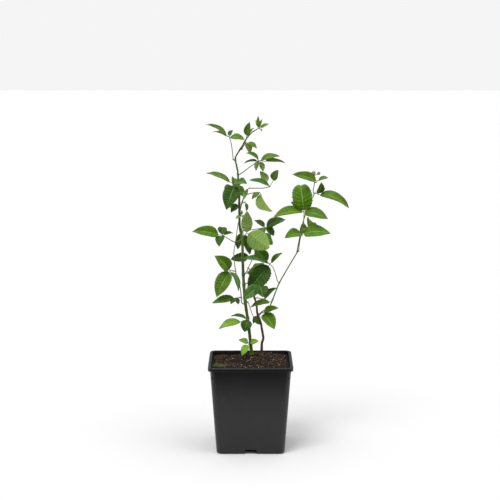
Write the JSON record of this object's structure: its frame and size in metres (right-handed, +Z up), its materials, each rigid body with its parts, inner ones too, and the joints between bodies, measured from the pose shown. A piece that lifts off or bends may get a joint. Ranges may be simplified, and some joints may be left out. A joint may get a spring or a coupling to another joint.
{
  "type": "potted thornless bramble",
  "caption": "Young thornless bramble in a square black nursery pot: upright green canes with compound toothed leaves, two flower buds and rough dark compost.",
  "frame": {"origin": "centre of the pot's flat underside", "axes": "+Z up along the canes, +X to the viewer's right and -Y towards the viewer"},
  "size_m": [0.2408, 0.1449, 0.5147],
  "materials": {
    "pot_plastic": "moulded matte black polypropylene, slightly polished on its rim and edges",
    "compost": "rough damp peat-like compost with fibres and bark bits",
    "green_cane": "smooth green cane, browner at its nodes",
    "old_cane_bark": "dry brown bark",
    "leaf": "pleated satin leaf, paler and matte underneath",
    "bud": "downy beige bud"
  },
  "bodies": {
    "root": {"axillary_twig": "green_cane", "compost": "compost", "flower_buds": "bud", "leaf_base": "leaf", "leaf_behind_cane": "leaf", "leaf_behind_centre": "leaf", "leaf_far_left": "leaf", "leaf_inner_front": "leaf", "leaf_inner_right": "leaf", "leaf_left_large": "leaf", "leaf_lower_inner": "leaf", "leaf_lower_left": "leaf", "leaf_lower_left_small": "leaf", "leaf_lower_right": "leaf", "leaf_middle_large": "leaf", "leaf_middle_left": "leaf", "leaf_pale_centre": "leaf", "leaf_rear_high": "leaf", "leaf_rear_low": "leaf", "leaf_rear_middle": "leaf", "leaf_rear_right": "leaf", "leaf_shoot_low": "leaf", "leaf_shoot_middle": "leaf", "leaf_shoot_tip_left": "leaf", "leaf_shoot_tip_right": "leaf", "leaf_shoot_upper": "leaf", "leaf_tip_tuft": "leaf", "leaf_top_left": "leaf", "leaf_top_small": "leaf", "leaf_top_upright": "leaf", "leaf_twig_hanging": "leaf", "leaf_twig_low": "leaf", "leaf_twig_small": "leaf", "leaf_twig_upper": "leaf", "leaf_upper_left": "leaf", "leaf_upper_right": "leaf", "leaf_upper_small": "leaf", "leaf_young_tip": "leaf", "main_cane": "green_cane", "old_cane": "old_cane_bark", "pale_shoot": "green_cane", "pot": "pot_plastic", "side_shoot": "green_cane"}
  },
  "joints": []
}
